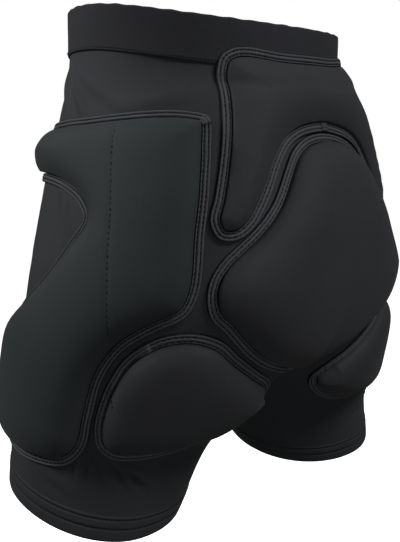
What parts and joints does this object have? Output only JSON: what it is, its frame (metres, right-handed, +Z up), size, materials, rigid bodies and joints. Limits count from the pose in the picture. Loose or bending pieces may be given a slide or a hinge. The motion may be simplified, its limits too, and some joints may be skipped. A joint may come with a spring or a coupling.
{
  "type": "padded protective shorts with tailbone pad",
  "caption": "Stretch shorts with sewn-on cushions over the tailbone, low back, hips and seat, in worn form, open at waist and legs.",
  "frame": {"origin": "on the body's upright axis, at the middle of the waistband's height", "axes": "+Z up towards the waist, -Y the wearer's front, +X the wearer's left"},
  "size_m": [0.4474, 0.285, 0.4538],
  "materials": {
    "stretch_cloth": "smooth black stretch knit with a slight sheen",
    "woven_elastic": "matt black woven elastic",
    "pad_cloth": "smooth black stretch knit over foam",
    "binding_tape": "black folded tape with rows of stitching"
  },
  "bodies": {
    "root": {"shorts_body": "stretch_cloth", "waistband": "woven_elastic", "hip_pad_left": "pad_cloth", "hip_pad_left_binding": "binding_tape", "seat_pad_left": "pad_cloth", "seat_pad_left_binding": "binding_tape", "hip_pad_right": "pad_cloth", "hip_pad_right_binding": "binding_tape", "seat_pad_right": "pad_cloth", "seat_pad_right_binding": "binding_tape", "lumbar_pad": "pad_cloth", "lumbar_pad_binding": "binding_tape", "tail_pad": "pad_cloth", "tail_pad_binding": "binding_tape"}
  },
  "joints": []
}
